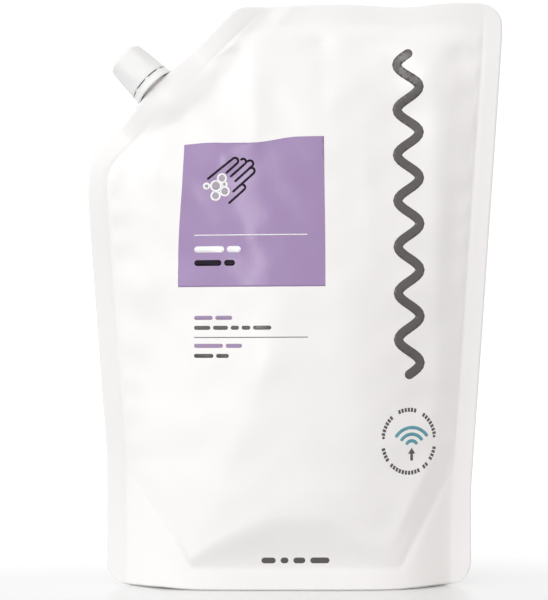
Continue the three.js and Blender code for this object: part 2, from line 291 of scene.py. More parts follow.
def boat_swell(a, s):
    """The film stretched over the spout's welded base."""
    share = np.maximum(0, 1 - (a / BOAT_SWELL_REACH) ** 2) ** 2
    return BOAT_SWELL * share * smoothstep(-36, -BOAT_DEPTH / 2, s)


def weld_swell(x):
    """Height above the weld over which the foot's section turns into the body's."""
    sides, corners, centre = WELD_SWELL
    swell = corners + (centre - corners) * np.maximum(0, 1 - (x / RIGHT_WELD[0]) ** 2)
    return swell + (sides - corners) * smoothstep(RIGHT_WELD[0], RIGHT_WELD[0] + 14, np.abs(x))


def half_thickness(x, z, side_relief):
    a = across(x, z)
    full = bulge_at(z) * section(a, *BODY_SECTION)
    foot = FOOT_BULGE * section(a, *FOOT_SECTION)
    above = z - weld_height(x)
    body = foot + (full - foot) * smoothstep(-1, weld_swell(x), above)
    inside = np.minimum(x - left_seam(z), right_seam(z) - x)
    clear = smoothstep(0, 14, inside) * smoothstep(0, 12, HEIGHT - TOP_SEAL - z) * smoothstep(2, 20, above)
    pucker = 0.3 * np.sin(z / 2.9 + 1.6 * np.sin(z / 13)) * np.exp(-np.maximum(0, inside - 3) / 6)
    pucker = pucker * smoothstep(0, 3, inside) * smoothstep(0, 14, above)
    groove = WELD_GROOVE * np.exp(-((above / 1.6) ** 2)) * smoothstep(0, 5, inside)
    crease = WELD_CREASE * np.exp(-(((above - 1) / WELD_CREASE_REACH) ** 2))
    groove = groove + crease * smoothstep(*WELD_CREASE_X, x) * smoothstep(0, 8, inside)
    body = np.maximum(0, body + clear * side_relief(x, z) + pucker - groove)
    body = np.where((inside <= 0) | (z >= HEIGHT - TOP_SEAL), 0, body)
    shell = HALF_SEAL + np.hypot(body, boat_swell(*from_spout(x, z)))
    room = np.minimum(x - left_edge(z), right_edge(z) - x)
    near_foot = z < FOOT_CORNER + 2
    return np.where(near_foot, np.minimum(shell, HALF_SEAL + np.maximum(0, room) * 1.2), shell)


def lift_edges(x, z):
    """The top edge rises to the right and waves a little, and the foot's edge lifts near its corners."""
    share = np.clip(z / HEIGHT, 0, 1) ** 6
    wave = -1.1 * np.exp(-(((x - 50) / 13) ** 2)) + 0.35 * np.sin(x / 9.0)
    near_corners = np.exp(-(((np.abs(x) - HEM_LIFT_X) / HEM_LIFT_WIDTH) ** 2))
    hem = HEM_LIFT * near_corners * np.clip(1 - z / HEM_LIFT_HEIGHT, 0, 1)
    return z + TOP_RISE * x / HALF_WIDTH * z / HEIGHT + share * wave + hem


def film_point(x, z, off):
    """A point of the film, off the pack's middle surface and square to it where the spout bends it."""
    a, s = from_spout(x, z)
    slope = 2 * TILT_BEND * np.maximum(0, s + TILT_REACH) * np.exp(-((a / TILT_WIDTH) ** 2))
    out = off * slope + 0.35 * np.exp(-((a / BOAT_DEPTH) ** 2)) * smoothstep(-6, 0, s)
    return np.stack([x + out * OUTWARD[0], middle(x, z) - off, lift_edges(x, z) + out * OUTWARD[1]], -1)


def front_point(x, z, proud=0.0):
    return film_point(x, z, half_thickness(x, z, front_relief) + proud)


def back_point(x, z):
    return film_point(x, z, -half_thickness(x, z, back_relief))


# ---- Meshes ----

SEAL_STEPS = 12
BODY_STEPS = 163
WALL_STEPS, ROOF_STEPS = 10, 18


def new_piece(name, points, faces, material, smooth=True):
    """A mesh object at the origin from points in millimetres."""
    mesh = bpy.data.meshes.new(name)
    mesh.from_pydata((np.asarray(points, float) * MM).tolist(), [], [list(f) for f in faces])
    mesh.materials.append(material)
    mesh.shade_smooth() if smooth else mesh.shade_flat()
    mesh.update()
    piece = bpy.data.objects.new(name, mesh)
    bpy.context.scene.collection.objects.link(piece)
    return piece


def closed_outwards(piece):
    """Merges doubles and turns every face outwards."""
    solid = bmesh.new()
    solid.from_mesh(piece.data)
    bmesh.ops.remove_doubles(solid, verts=solid.verts, dist=1e-7)
    bmesh.ops.recalc_face_normals(solid, faces=solid.faces)
    solid.to_mesh(piece.data)
    solid.free()
    return piece


def grid_faces(first, rows, columns, step_row, step_column):
    """Quads over a grid whose vertex (j, i) is number first + j * step_row + i * step_column."""
    j, i = np.meshgrid(np.arange(rows - 1), np.arange(columns - 1), indexing="ij")
    a = first + j * step_row + i * step_column
    return np.stack([a, a + step_column, a + step_column + step_row, a + step_row], -1).reshape(-1, 4)


def pouch_rows():
    heights = [
        np.linspace(0, FOOT_CORNER, 12, endpoint=False),
        np.linspace(FOOT_CORNER, 60, 46, endpoint=False),
        np.linspace(60, 180, 78, endpoint=False),
        np.linspace(180, HEIGHT - TOP_SEAL, 64, endpoint=False),
        np.linspace(HEIGHT - TOP_SEAL, HEIGHT, 12),
    ]
    return np.concatenate(heights)


def pouch_columns(z):
    """X of the columns of each row: the seal strips have their own, and the film between them the rest."""
    left, right = left_edge(z), right_edge(z)
    seam_left = np.maximum(left_seam(z), left + 0.8)
    seam_right = np.minimum(right_seam(z), right - 0.8)
    seal = 1 - (1 - np.linspace(0, 1, SEAL_STEPS)) ** 1.4
    body = np.linspace(0, 1, BODY_STEPS)[1:-1]
    body = 0.55 * body + 0.45 * (1 - np.cos(body * math.pi)) / 2
    parts = [
        left[:, None] + (seam_left - left)[:, None] * seal,
        seam_left[:, None] + (seam_right - seam_left)[:, None] * body,
        seam_right[:, None] + (right - seam_right)[:, None] * (1 - seal[::-1]),
    ]
    return np.concatenate(parts, 1), len(seal) - 1


def edge_faces(rows, columns, seal, behind):
    """The strips that close the pouch at its left, right and top edges and under its side seals."""
    top = (rows - 1) * columns
    strips = [
        grid_faces(0, rows, 2, columns, behind)[:, ::-1],
        grid_faces(columns - 1, rows, 2, columns, behind),
        grid_faces(top, columns, 2, 1, behind)[:, ::-1],
    ]
    for first in (0, columns - 1 - seal):
        strips.append(grid_faces(first, seal + 1, 2, 1, behind))
    return strips


def gusset_loops(foot):
    """Lines of the gusset: up inside the front skirt, over the sagging fold, down inside the back skirt."""
    weld = weld_height(foot)
    low, high = foot[0], foot[-1]
    away = np.abs((2 * foot - low - high) / (high - low))
    crown = np.minimum(0.3 + WELD_CLIMB * np.clip((away - 0.5) / 0.5, 0, 1) ** 1.5, weld - 0.2)

    def wall(step, side_relief, side):
        height = 0.15 + (weld - 0.15) * step / WALL_STEPS
        inner = np.maximum(0.06, half_thickness(foot, height, side_relief) - SKIRT_WALL)
        return np.stack([foot, middle(foot, height) + side * inner, height], -1)

    front = [wall(step, front_relief, -1) for step in range(1, WALL_STEPS + 1)]
    back = [wall(step, back_relief, 1) for step in range(WALL_STEPS, 0, -1)]
    roof = []
    for step in range(1, ROOF_STEPS):
        share = step / ROOF_STEPS
        y = front[-1][:, 1] * (1 - share) + back[0][:, 1] * share
        roof.append(np.stack([foot, y, crown + (weld - crown) * abs(2 * share - 1) ** 5], -1))
    return front + roof + back


def film_pouch(material):
    """Front and back film, the edges they share, and the gusset between their skirts, as one closed skin."""
    z = pouch_rows()
    x, seal = pouch_columns(z)
    rows, columns = x.shape
    heights = np.broadcast_to(z[:, None], x.shape)
    behind = rows * columns
    loops = gusset_loops(x[0, seal : columns - seal])
    width = len(loops[0])
    points = [front_point(x, heights).reshape(-1, 3), back_point(x, heights).reshape(-1, 3)]
    points.append(np.stack(loops).reshape(-1, 3))

    first = 2 * behind
    last = first + (len(loops) - 1) * width
    faces = [grid_faces(0, rows, columns, columns, 1), grid_faces(behind, rows, columns, columns, 1)[:, ::-1]]
    faces += edge_faces(rows, columns, seal, behind)
    faces.append(grid_faces(first, len(loops), width, width, 1)[:, ::-1])
    faces.append(grid_faces(seal, 2, width, first - seal, 1)[:, ::-1])
    faces.append(grid_faces(behind + seal, 2, width, last - behind - seal, 1))
    faces = [list(face) for group in faces for face in group]
    for i in (0, width - 1):
        faces.append([seal + i] + [first + k * width + i for k in range(len(loops))] + [behind + seal + i])
    return closed_outwards(new_piece("film_pouch", np.concatenate(points), faces, material))


# ---- Print: flat shapes in the plane of the front, laid on the film ----

ARC_STEP = 12  # degrees
CELL = 1.6  # the print is cut into cells of this size
INK_THICKNESS = 0.1


def arc(cx, cz, radius, start, end):
    turns = np.radians(np.linspace(start, end, 2 + int(abs(end - start) / ARC_STEP)))
    return [(cx + radius * math.cos(t), cz + radius * math.sin(t)) for t in turns]


def disc(cx, cz, radius):
    return arc(cx, cz, radius, 0, 360 - ARC_STEP)


def bar(x, z, length, height):
    """A bar with round ends, from x along +X, centred on z."""
    r = height / 2
    return arc(x + length - r, z, r, -90, 90) + arc(x + r, z, r, 90, 270)


def words(x, z, lengths, height, gap):
    """Bars in a row, where a line of small print would be."""
    shapes = []
    for length in lengths:
        shapes.append(bar(x, z, length, height))
        x += length + gap
    return shapes


def rule(x, z, length, height):
    return [(x, z), (x + length, z), (x + length, z + height), (x, z + height)]


def stroke(path, width, closed=False):
    """A line of this width along a path of points, as quads, with round ends where it is open."""
    path = np.asarray(path, float)
    if closed:
        path = np.vstack([path, path[:1]])
    ahead = np.vstack([path[1:], path[1:2] if closed else path[-1:]])
    behind = np.vstack([path[-2:-1] if closed else path[:1], path[:-1]])
    tangent = ahead - behind
    tangent /= np.linalg.norm(tangent, axis=1)[:, None]
    normal = np.stack([-tangent[:, 1], tangent[:, 0]], 1) * width / 2
    a, b = path + normal, path - normal
    shapes = [[b[i], b[i + 1], a[i + 1], a[i]] for i in range(len(path) - 1)]
    if not closed:
        for end, way in ((0, -1), (-1, 1)):
            facing = math.degrees(math.atan2(way * tangent[end][1], way * tangent[end][0]))
            shapes.append(arc(*path[end], width / 2, facing - 90, facing + 90))
    return shapes


def laid_print(name, shapes, proud, material):
    """Flat shapes cut into small cells, laid on the front film and given the thickness of ink."""
    flat = bmesh.new()
    for shape in shapes:
        flat.faces.new([flat.verts.new((p[0], 0, p[1])) for p in shape])
    bmesh.ops.triangulate(flat, faces=[f for f in flat.faces if len(f.verts) > 4])
    bmesh.ops.remove_doubles(flat, verts=flat.verts, dist=1e-4)
    corners = np.array([v.co for v in flat.verts])
    for axis in (0, 2):
        along = Vector((1, 0, 0)) if axis == 0 else Vector((0, 0, 1))
        low, high = corners[:, axis].min(), corners[:, axis].max()
        for step in range(math.ceil(low / CELL), math.ceil(high / CELL)):
            everything = flat.verts[:] + flat.edges[:] + flat.faces[:]
            bmesh.ops.bisect_plane(flat, geom=everything, plane_co=along * step * CELL, plane_no=along)
    x, z = np.array([[v.co.x, v.co.z] for v in flat.verts]).T
    for vert, place in zip(flat.verts, front_point(x, z, proud)):
        vert.co = Vector(place) * MM
    for face in flat.faces:
        face.normal_update()
        if face.normal.y > 0:
            face.normal_flip()
        face.smooth = True
    mesh = bpy.data.meshes.new(name)
    flat.to_mesh(mesh)
    flat.free()
    mesh.materials.append(material)
    piece = bpy.data.objects.new(name, mesh)
    bpy.context.scene.collection.objects.link(piece)
    ink = piece.modifiers.new("ink", "SOLIDIFY")
    ink.thickness = INK_THICKNESS * MM
    ink.offset = -1
    return with_modifiers_applied(piece)


def with_modifiers_applied(piece):
    graph = bpy.context.evaluated_depsgraph_get()
    graph.update()
    mesh = bpy.data.meshes.new_from_object(piece.evaluated_get(graph))
    piece.modifiers.clear()
    piece.data = mesh
    mesh.name = piece.name
    return piece


PANEL_BOTTOM, PANEL_TOP = 133.6, 200.2
PANEL_LEFT, PANEL_RIGHT = -52.0, 13.0
PANEL_DROP = 3.4  # how far the top edge comes down at its left end
PANEL_SLANT = 3.4  # how far the left edge slants in
PANEL_LEAN = 0.4  # how far the right edge leans in
TEXT_LEFT = -44.8
SMALL_PRINT = 1.75  # height of the bars in the small lines
SMALL_GAP = 1.2
RULE_LENGTH = 50


def panel_outline():
    """A square field of colour whose top edge dips to the left and whose left edge slants in as it rises."""
    down = np.linspace(PANEL_TOP - PANEL_DROP, PANEL_BOTTOM, 22)
    left = [(PANEL_LEFT + PANEL_SLANT * smoothstep(145, 215, z), z) for z in down]
    bottom = [(x, PANEL_BOTTOM) for x in np.linspace(PANEL_LEFT, PANEL_RIGHT, 12)[1:-1]]
    up = np.linspace(PANEL_BOTTOM, PANEL_TOP, 12)
    right = [(PANEL_RIGHT - PANEL_LEAN * smoothstep(150, 200, z), z) for z in up]
    top = []
    for x in np.linspace(PANEL_RIGHT - PANEL_LEAN, left[0][0], 34)[1:-1]:
        dip = 2.5 * (1 - smoothstep(-20, 2, x)) + 0.8 * math.exp(-(((x - PANEL_LEFT - 3) / 7) ** 2))
        top.append((x, PANEL_TOP - dip))
    return [(float(x), float(z)) for x, z in left + bottom + right + top]


HAND_PLACE = (-29.0, 180.6)
HAND_TURN = math.radians(-48)
# Centre line, half width, start of the round tip and end of the line, for each finger and the thumb.
FINGERS = ((-5.2, 1.4, 7.5, 1.3), (-2.55, 1.25, 10.0, 1.6), (0.15, 1.45, 11.6, 1.7), (3.0, 1.43, 9.9, -2.1))
THUMB = (5.75, 1.3, 2.0, -6.8)
HAND_LINE = 1.0


def hand_strokes():
    """An open hand: four fingers and a thumb, each a round tip with a line down its right side."""
    paths = [arc(u, tip, half, 180, 0) + [(u + half, end)] for u, half, tip, end in FINGERS + (THUMB,)]
    paths[0].insert(0, (-7.4, -6.6))
    c, s = math.cos(HAND_TURN), math.sin(HAND_TURN)
    strokes = []
    for path in paths:
        turned = [(HAND_PLACE[0] + u * c - v * s, HAND_PLACE[1] + u * s + v * c) for u, v in path]
        strokes += stroke(turned, HAND_LINE)
    return strokes


BUBBLE_PLACE = (-35.3, 178.4)
# Direction and distance from the biggest, and radius.
BUBBLES = ((0, 0, 2.2), (52, 4.3, 1.85), (10, 3.8, 1.05), (-32, 4.6, 1.9), (-92, 4.4, 1.9), (180, 4.2, 1.2))
BUBBLE_LINE = 0.85


def bubbles():
    """Centre and radius of each bubble, from its direction and distance from the biggest."""
    for turn, distance, radius in BUBBLES:
        t = math.radians(turn)
        yield BUBBLE_PLACE[0] + distance * math.cos(t), BUBBLE_PLACE[1] + distance * math.sin(t), radius


COLUMN_X = 50.2
COLUMN_Z = (94.5, 238)
COLUMN_SWING = 4.9
COLUMN_LINE = 4.2
COLUMN_CYCLES = 7


def column_wave():
    """A broad line that waves up the right side of the front, where a wordmark would be."""
    low, high = COLUMN_Z
    heights = np.linspace(low, high, 16 * COLUMN_CYCLES + 1)
    turns = (heights - low) / (high - low) * math.tau * COLUMN_CYCLES
    return stroke(np.stack([COLUMN_X + COLUMN_SWING * np.sin(turns), heights], -1), COLUMN_LINE)


BADGE_X, BADGE_Z = 49.9, 65.2
BADGE_SQUEEZE = 0.86  # the film turns away here, so a round mark is narrower seen from the front
BADGE_RADIUS = 13.8
BADGE_DASHES = 52
BADGE_DASH_SIZE = (1.15, 1.75, 1)
# Direction and half width of the gaps between the runs of dashes, in degrees.
BADGE_GAPS = ((122, 5), (66, 5), (180, 13), (0, 13), (222, 5), (296, 5), (318, 5))
ARC_CENTRE = (51.1, 62.9)
ARC_RADII = (2.5, 5.4, 8.3)
ARC_LINE = 1.45


def badge_dashes():
    """Dashes round a circle, in runs like the words of a line of print, squeezed to the film's turn."""
    blocks = ring_of_blocks("badge", BADGE_RADIUS, BADGE_DASHES, BADGE_DASH_SIZE, None)
    shapes = []
    for face in blocks.data.polygons:
        if face.normal.z < 0.5:
            continue
        turn = math.degrees(math.atan2(face.center.y, face.center.x))
        if any(abs((turn - gap + 180) % 360 - 180) < width for gap, width in BADGE_GAPS):
            continue
        corners = [blocks.data.vertices[i].co for i in face.vertices]
        shapes.append([(BADGE_X + c.x * BADGE_SQUEEZE, BADGE_Z + c.y) for c in corners])
    bpy.data.objects.remove(blocks)
    return shapes


def badge_marks():
    """A dot at each side of the badge, and an arrow pointing up at its middle."""
    x, z = ARC_CENTRE[0], ARC_CENTRE[1] - 6.2
    stem = [(x - 0.6, z), (x + 0.6, z), (x + 0.6, z + 3), (x - 0.6, z + 3)]
    head = [(x - 1.6, z + 3), (x + 1.6, z + 3), (x, z + 5.6)]
    return [stem, head] + [disc(BADGE_X + side * 11.5, BADGE_Z + 1.8, 0.6) for side in (-1, 1)]


def teal_arcs():
    return [s for radius in ARC_RADII for s in stroke(arc(*ARC_CENTRE, radius, 35, 145), ARC_LINE)]


def prints():
    """Name, shapes, height above the film and ink of everything printed on the front."""
    white = words(TEXT_LEFT, 150.2, (13.2, 6.2), 2.8, 1.2) + [rule(TEXT_LEFT, 156.3, RULE_LENGTH, 0.45)]
    dark = words(TEXT_LEFT, 144.2, (12.0, 4.8), 2.6, 1.2) + hand_strokes()
    rings = [s for x, z, r in bubbles() for s in stroke(disc(x, z, r), BUBBLE_LINE, closed=True)]
    centres = [disc(x, z, r - BUBBLE_LINE / 3) for x, z, r in bubbles()]
    violet = words(TEXT_LEFT, 120.0, (8.2, 7.4), SMALL_PRINT, SMALL_GAP)
    violet += words(TEXT_LEFT, 107.7, (12.8, 7.2), SMALL_PRINT, SMALL_GAP)
    grey = words(TEXT_LEFT, 115.6, (7.2, 6.6, 3.6, 3.8, 8.0), SMALL_PRINT, SMALL_GAP)
    grey += words(TEXT_LEFT, 103.3, (8.6, 5.6), SMALL_PRINT, SMALL_GAP)
    grey += words(-15.1, 13.4, (6.2, 3.4, 5.2, 8.4), 2.6, 2.2)
    grey += [rule(TEXT_LEFT, 111.2, RULE_LENGTH, 0.35)] + column_wave() + badge_marks()
    return (
        ("lilac_panel", [panel_outline()], 0.05, "lilac_ink"),
        ("white_marks", white, 0.09, "white_ink"),
        ("dark_marks", dark, 0.09, "dark_ink"),
        ("bubble_centres", centres, 0.11, "bubble_ink"),
        ("bubble_rings", rings, 0.14, "white_ink"),
        ("violet_marks", violet, 0.06, "violet_ink"),
        ("grey_marks", grey, 0.06, "grey_ink"),
        ("badge_dashes", badge_dashes(), 0.06, "grey_ink"),
        ("teal_arcs", teal_arcs(), 0.06, "teal_ink"),
    )


# ---- Blocks round a ring: a geometry tree with named sizes ----


def ring_tree():
    """Blocks set round a circle in the XY plane, each turned to face outwards."""
    group = bpy.data.node_groups.new("blocks_round_a_ring", "GeometryNodeTree")
    group.interface.new_socket("Geometry", in_out="INPUT", socket_type="NodeSocketGeometry")
    for label, kind in (("Radius", "Float"), ("Count", "Int"), ("Size", "Vector"), ("Material", "Material")):
        group.interface.new_socket(label, in_out="INPUT", socket_type="NodeSocket" + kind)
    group.interface.new_socket("Geometry", in_out="OUTPUT", socket_type="NodeSocketGeometry")
    nodes, links = group.nodes, group.links
    given, out = nodes.new("NodeGroupInput"), nodes.new("NodeGroupOutput")
    ring = nodes.new("GeometryNodeMeshCircle")
    block = nodes.new("GeometryNodeMeshCube")
    place = nodes.new("GeometryNodeInstanceOnPoints")
    position = nodes.new("GeometryNodeInputPosition")
    face_out = nodes.new("FunctionNodeAlignRotationToVector")
    face_out.axis = "Y"
    real = nodes.new("GeometryNodeRealizeInstances")
    skin = nodes.new("GeometryNodeSetMaterial")
    for source, target in (
        (given.outputs["Radius"], ring.inputs["Radius"]),
        (given.outputs["Count"], ring.inputs["Vertices"]),
        (given.outputs["Size"], block.inputs["Size"]),
        (given.outputs["Material"], skin.inputs["Material"]),
        (ring.outputs["Mesh"], place.inputs["Points"]),
        (block.outputs["Mesh"], place.inputs["Instance"]),
        (position.outputs["Position"], face_out.inputs["Vector"]),
        (face_out.outputs["Rotation"], place.inputs["Rotation"]),
        (place.outputs["Instances"], real.inputs["Geometry"]),
        (real.outputs["Geometry"], skin.inputs["Geometry"]),
        (skin.outputs["Geometry"], out.inputs["Geometry"]),
    ):
        links.new(source, target)
    return group


def ring_of_blocks(name, radius, count, size, material):
    """The tree's result as a plain mesh object, in millimetres about its own axis."""
    tree = bpy.data.node_groups.get("blocks_round_a_ring") or ring_tree()
    piece = bpy.data.objects.new(name, bpy.data.meshes.new(name))
    bpy.context.scene.collection.objects.link(piece)
    blocks = piece.modifiers.new("blocks", "NODES")
    blocks.node_group = tree
    given = {"Radius": radius, "Count": count, "Size": size, "Material": material}
    for item in tree.interface.items_tree:
        if item.in_out == "INPUT" and item.name in given:
            blocks[item.identifier] = given[item.name]
    return with_modifiers_applied(piece)


# ---- Closure: turned pieces in the spout's own frame, whose +Z is the neck's axis ----

ROUND = 120
CAP_FOOT, CAP_TOP = 4.9, 21.8
CAP_FOOT_RADIUS, CAP_TOP_RADIUS = 10.0, 8.6
CAP_ROUNDING = 2.6
CAP_CEILING = 19.85
CAP_WALL = 1.2
CAP_FLATS = 6
CAP_FLAT_DEPTH = 0.026
BAND_TOP = 4.35
BRIDGE_RADIUS = 9.35
BRIDGES = 8
BRIDGE_SIZE = (2.0, 0.8, 0.7)
THREAD_PITCH = 3.5
# Radius, depth, foot, turns and width.
CAP_THREAD = (8.0, -0.5, 8.0, 2.2, 1.5)
NECK_THREAD = (6.5, 0.55, 6.6, 2.6, 1.5)


def spout_frame():
    """The frame of the spout: its origin on the cut edge, +X along the edge and +Z out along the neck."""
    base, step = -BOAT_DEPTH / 2, 0.5

    def point(a, s):
        x = SPOUT_X + a * ALONG[0] + s * OUTWARD[0]
        z = SPOUT_Z + a * ALONG[1] + s * OUTWARD[1]
        return Vector((x, float(lean_and_tilt(z, a, s)), z))

    axis = (point(0, base + step) - point(0, base - step)).normalized()
    side = point(step, base) - point(-step, base)
    edgeways = (side - axis * side.dot(axis)).normalized()
    turn = Matrix((edgeways, axis.cross(edgeways), axis)).transposed().to_4x4()
    return Matrix.Translation(point(0, base) - axis * base) @ turn


CLOSURE = np.array(spout_frame())


def placed(points):
    """Points of the spout's frame in the pack's frame."""
    return np.asarray(points, float) @ CLOSURE[:3, :3].T + CLOSURE[:3, 3]


def turned_piece(name, profile, material, shape=None):
    """A ring or a shell turned from a closed profile of (radius, height), which may touch the axis."""
    profile = np.asarray(profile, float)
    turn = np.arange(ROUND) * math.tau / ROUND
    r, z = (np.repeat(profile[:, k : k + 1], ROUND, 1) for k in (0, 1))
    if shape:
        r = r * shape(turn[None, :], r, z)
    points = np.stack([r * np.cos(turn), r * np.sin(turn), z], -1).reshape(-1, 3)
    steps = len(profile)
    faces = []
    for k in range(steps):
        here, ahead = k * ROUND, (k + 1) % steps * ROUND
        for i in range(ROUND):
            j = (i + 1) % ROUND
            faces.append((here + i, here + j, ahead + j, ahead + i))
    return closed_outwards(new_piece(name, placed(points), faces, material))


def rounded(profile, radius):
    """A closed profile given as (r, z, rounding share), with its corners softened."""
    out = []
    for k, (r, z, share) in enumerate(profile):
        here = np.array([r, z], float)
        if not share:
            out.append(here)
            continue
        before = np.array(profile[k - 1][:2], float) - here
        after = np.array(profile[(k + 1) % len(profile)][:2], float) - here
        reach = min(radius * share, np.linalg.norm(before) * 0.45, np.linalg.norm(after) * 0.45)
        a = here + before / np.linalg.norm(before) * reach
        b = here + after / np.linalg.norm(after) * reach
        out += [(1 - t) ** 2 * a + 2 * t * (1 - t) * here + t * t * b for t in np.linspace(0, 1, 4)]
    return out


def cap_flats(turn, r, z):
    """Six shallow flats round the cap's outside, fading in above its foot."""
    share = (z - CAP_FOOT) / (CAP_TOP - CAP_FOOT)
    outside = r > CAP_FOOT_RADIUS - CAP_WALL + (CAP_TOP_RADIUS - CAP_FOOT_RADIUS) * share
    depth = CAP_FLAT_DEPTH * smoothstep(CAP_FOOT + 1, CAP_FOOT + 7, z) * (outside | (z > CAP_CEILING + 0.1))
    return 1 + depth * (np.cos(CAP_FLATS * turn) - 0.4)


def cap_shell(material):
    shoulder = CAP_TOP - CAP_ROUNDING
    outside = [(CAP_FOOT_RADIUS - 0.1, CAP_FOOT), (CAP_FOOT_RADIUS, CAP_FOOT + 0.25)]
    for z in np.linspace(CAP_FOOT + 0.6, shoulder, 14):
        share = (z - CAP_FOOT) / (shoulder - CAP_FOOT)
        outside.append((CAP_FOOT_RADIUS + (CAP_TOP_RADIUS - CAP_FOOT_RADIUS) * share, z))
    for t in np.linspace(0, math.pi / 2, 10)[1:]:
        drop = CAP_ROUNDING * (1 - math.sin(t))
        outside.append((CAP_TOP_RADIUS - CAP_ROUNDING * (1 - math.cos(t)), CAP_TOP - drop))
    outside += [(3, CAP_TOP + 0.06), (0, CAP_TOP + 0.08)]
    foot, ceiling = CAP_FOOT_RADIUS - CAP_WALL, CAP_TOP_RADIUS - CAP_WALL
    inside = [(0, CAP_CEILING), (ceiling - 0.4, CAP_CEILING), (ceiling, CAP_CEILING - 0.45)]
    inside += [(foot, CAP_FOOT + 0.5), (foot + 0.2, CAP_FOOT)]
    return turned_piece("cap_shell", outside + inside, material, cap_flats)


def tamper_ring(material):
    """The flared band left on the neck, with the lip inside it that holds it under the neck's bead."""
    profile = [
        (9.75, 0.5, 1), (10.6, 0.5, 1), (10.7, 0.95, 1), (10.05, 3.2, 1), (9.95, BAND_TOP, 1),
        (8.85, BAND_TOP, 1), (8.75, 3.1, 0), (7.0, 3.1, 1), (7.0, 2.7, 1), (8.75, 1.9, 0),
    ]
    return turned_piece("tamper_ring", rounded(profile, 0.3), material)


def tamper_bridges(material):
    """Thin bridges between the band and the cap's foot."""
    piece = ring_of_blocks("tamper_bridges", BRIDGE_RADIUS, BRIDGES, BRIDGE_SIZE, material)
    lift = Vector((0, 0, BAND_TOP + 0.2))
    places = placed([vert.co + lift for vert in piece.data.vertices]) * MM
    for vert, place in zip(piece.data.vertices, places):
        vert.co = place
    piece.data.update()
    return piece


def helix_thread(name, radius, depth, foot, turns, width, material):
    """A thread with sloping sides and faded ends, wound outwards, or inwards where depth is negative."""
    steps = int(turns * 72)
    points, faces = [], []
    for k in range(steps + 1):
        share = k / steps
        turn = share * turns * math.tau
        crest = radius + depth * float(smoothstep(0, 0.06, share) * smoothstep(0, 0.06, 1 - share))
        root = radius - math.copysign(0.25, depth)
        z = foot + share * turns * THREAD_PITCH
        for r, rise in ((root, -width / 2), (crest, -width / 5), (crest, width / 5), (root, width / 2)):
            points.append((r * math.cos(turn), r * math.sin(turn), z + rise))
    for k in range(steps):
        faces += [(k * 4 + i, k * 4 + (i + 1) % 4, k * 4 + 4 + (i + 1) % 4, k * 4 + 4 + i) for i in range(4)]
    faces += [(3, 2, 1, 0), tuple(steps * 4 + i for i in range(4))]
    return closed_outwards(new_piece(name, placed(points), faces, material, smooth=False))


# ---- Materials ----

FILM_TONE, FILM_GLOSS = (0.905, 0.89, 0.88), 0.34
MOULDED_TONE, MOULDED_GLOSS = (0.85, 0.85, 0.835), 0.4
FOAM_TONE, FOAM_GLOSS = (0.82, 0.82, 0.8), 0.85
INK_GLOSS = 0.24
GLOSS_WANDER = 0.06
PATCH_SCALE = 28
SHINE, DARK_INK_SHINE = 0.5, 0.15
# Scale, strength and distance of each grain.
FILM_GRAIN = ((90, 0.25, 0.0006), (1400, 0.10, 0.00003))
MOULDED_GRAIN = ((260, 0.12, 0.0002), (2200, 0.08, 0.00002))
FOAM_GRAIN = ((1800, 0.5, 0.0002),)


def linear(r, g, b):
    """Linear colour of sRGB values from 0 to 255."""
    return tuple(((c / 255 + 0.055) / 1.055) ** 2.4 for c in (r, g, b))


def surface(name, colour, roughness, grain, mottle, subsurface=0.0, shine=SHINE):
    """Film, ink, moulding or foam, with its grain, and with a colour and a gloss that wander a little."""
    material = bpy.data.materials.new(name)
    material.use_nodes = True
    nodes, links = material.node_tree.nodes, material.node_tree.links
    shader = nodes["Principled BSDF"]
    shader.inputs["Specular IOR Level"].default_value = shine
    shader.inputs["Subsurface Weight"].default_value = subsurface
    shader.inputs["Subsurface Radius"].default_value = (0.004, 0.0035, 0.003)
    shader.inputs["Subsurface Scale"].default_value = 0.5
    place = nodes.new("ShaderNodeTexCoord")

    def noise(scale, detail):
        node = nodes.new("ShaderNodeTexNoise")
        node.inputs["Scale"].default_value = scale
        node.inputs["Detail"].default_value = detail
        links.new(place.outputs["Object"], node.inputs["Vector"])
        return node.outputs["Fac"]

    normal = None
    for scale, strength, distance in grain:
        bump = nodes.new("ShaderNodeBump")
        bump.inputs["Strength"].default_value = strength
        bump.inputs["Distance"].default_value = distance
        links.new(noise(scale, 3), bump.inputs["Height"])
        if normal:
            links.new(normal, bump.inputs["Normal"])
        normal = bump.outputs["Normal"]
    links.new(normal, shader.inputs["Normal"])

    blotch = noise(PATCH_SCALE, 2)
    gloss = nodes.new("ShaderNodeMapRange")
    gloss.inputs["To Min"].default_value = roughness - GLOSS_WANDER
    gloss.inputs["To Max"].default_value = roughness + GLOSS_WANDER
    links.new(blotch, gloss.inputs["Value"])
    links.new(gloss.outputs["Result"], shader.inputs["Roughness"])
    shade = nodes.new("ShaderNodeMix")
    shade.data_type = "RGBA"
    shade.inputs["A"].default_value = (*[c * (1 - mottle) for c in colour], 1)
    shade.inputs["B"].default_value = (*colour, 1)
    links.new(blotch, shade.inputs["Factor"])
    links.new(shade.outputs["Result"], shader.inputs["Base Color"])
    return material


def inks():
    """Inks by name: sRGB colour and how much its tone wanders."""
    tones = {
        "lilac_ink": ((161, 135, 179), 0.06),
        "white_ink": ((248, 247, 248), 0.03),
        "grey_ink": ((88, 83, 82), 0.02),
        "violet_ink": ((158, 134, 170), 0.05),
        "dark_ink": ((24, 12, 28), 0.05),
        "bubble_ink": ((168, 160, 172), 0.05),
        "teal_ink": ((92, 158, 170), 0.05),
    }
    made = {}
    for name, (tone, wander) in tones.items():
        shine = DARK_INK_SHINE if name == "dark_ink" else SHINE
        made[name] = surface(name, linear(*tone), INK_GLOSS, FILM_GRAIN, wander, shine=shine)
    return made


